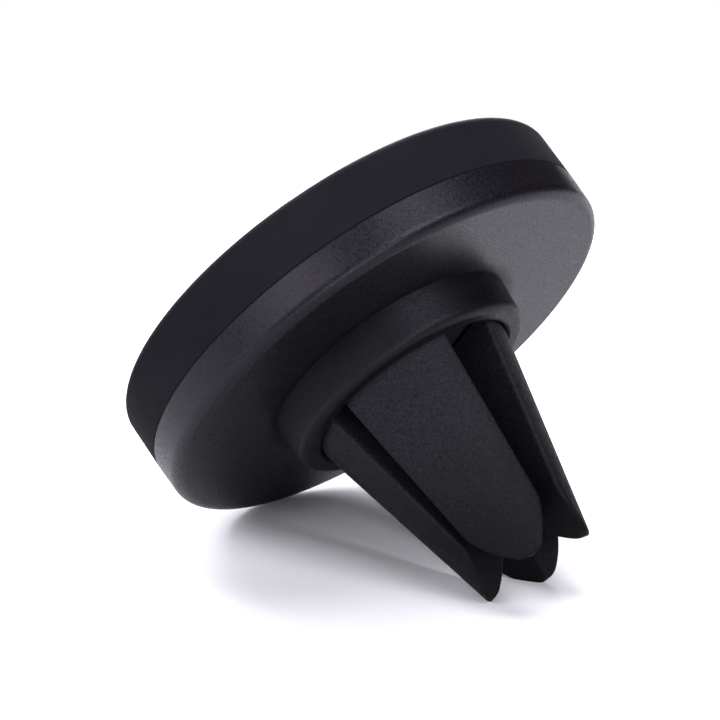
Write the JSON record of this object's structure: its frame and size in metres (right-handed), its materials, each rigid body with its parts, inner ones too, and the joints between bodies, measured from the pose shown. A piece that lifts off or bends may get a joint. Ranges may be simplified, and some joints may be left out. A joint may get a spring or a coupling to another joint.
{
  "type": "car phone mount",
  "caption": "Round magnetic phone holder with a turning rubber-pronged clip that grips a car's air-vent blade.",
  "frame": {"origin": "centre of the flat phone face, in the plane of that face", "axes": "+Z from the phone face along the clip to the prong tips; +X along the clip's wide slot; +Y along its narrow slot"},
  "size_m": [0.042, 0.042, 0.0304],
  "materials": {
    "cap_rubber": "smooth soft-touch, satin",
    "housing_plastic": "fine spark-eroded grain",
    "prong_rubber": "fine-grained matte",
    "inner_plastic": "plain moulded",
    "nylon": "plain moulded",
    "nickel": "nickel plated",
    "zinc_steel": "zinc plated",
    "spring_steel": "plain spring steel"
  },
  "bodies": {
    "head": {"front_cap": "cap_rubber", "magnet_carrier": "inner_plastic", "magnet_1": "nickel", "magnet_2": "nickel", "magnet_3": "nickel", "magnet_4": "nickel", "magnet_5": "nickel", "magnet_6": "nickel", "steel_yoke": "zinc_steel", "housing_screws": "zinc_steel", "rear_housing": "housing_plastic"},
    "clip": {"clip_hub": "nylon", "wave_washer": "spring_steel", "retaining_washer": "zinc_steel", "pivot_screw": "zinc_steel"},
    "prong_1": {"prong_jacket_1": "prong_rubber", "prong_core_1": "nylon"},
    "prong_2": {"prong_jacket_2": "prong_rubber", "prong_core_2": "nylon"},
    "prong_3": {"prong_jacket_3": "prong_rubber", "prong_core_3": "nylon"},
    "prong_4": {"prong_jacket_4": "prong_rubber", "prong_core_4": "nylon"}
  },
  "joints": [
    {"name": "clip_swivel", "type": "hinge", "parent": "head", "child": "clip", "pos_m": [0, 0, 0.0082], "axis": [0, 0, 1], "continuous": true},
    {"name": "prong_1_flex", "type": "hinge", "parent": "clip", "child": "prong_1", "pos_m": [-0.00467, -0.00467, 0.0106], "axis": [0.7071, -0.7071, 0], "range_deg": [0, 4], "stiffness_Nm_per_rad": 1.2},
    {"name": "prong_2_flex", "type": "hinge", "parent": "clip", "child": "prong_2", "pos_m": [-0.00467, 0.00467, 0.0106], "axis": [-0.7071, -0.7071, 0], "range_deg": [0, 4], "stiffness_Nm_per_rad": 1.2},
    {"name": "prong_3_flex", "type": "hinge", "parent": "clip", "child": "prong_3", "pos_m": [0.00467, 0.00467, 0.0106], "axis": [-0.7071, 0.7071, 0], "range_deg": [0, 4], "stiffness_Nm_per_rad": 1.2},
    {"name": "prong_4_flex", "type": "hinge", "parent": "clip", "child": "prong_4", "pos_m": [0.00467, -0.00467, 0.0106], "axis": [0.7071, 0.7071, 0], "range_deg": [0, 4], "stiffness_Nm_per_rad": 1.2}
  ]
}
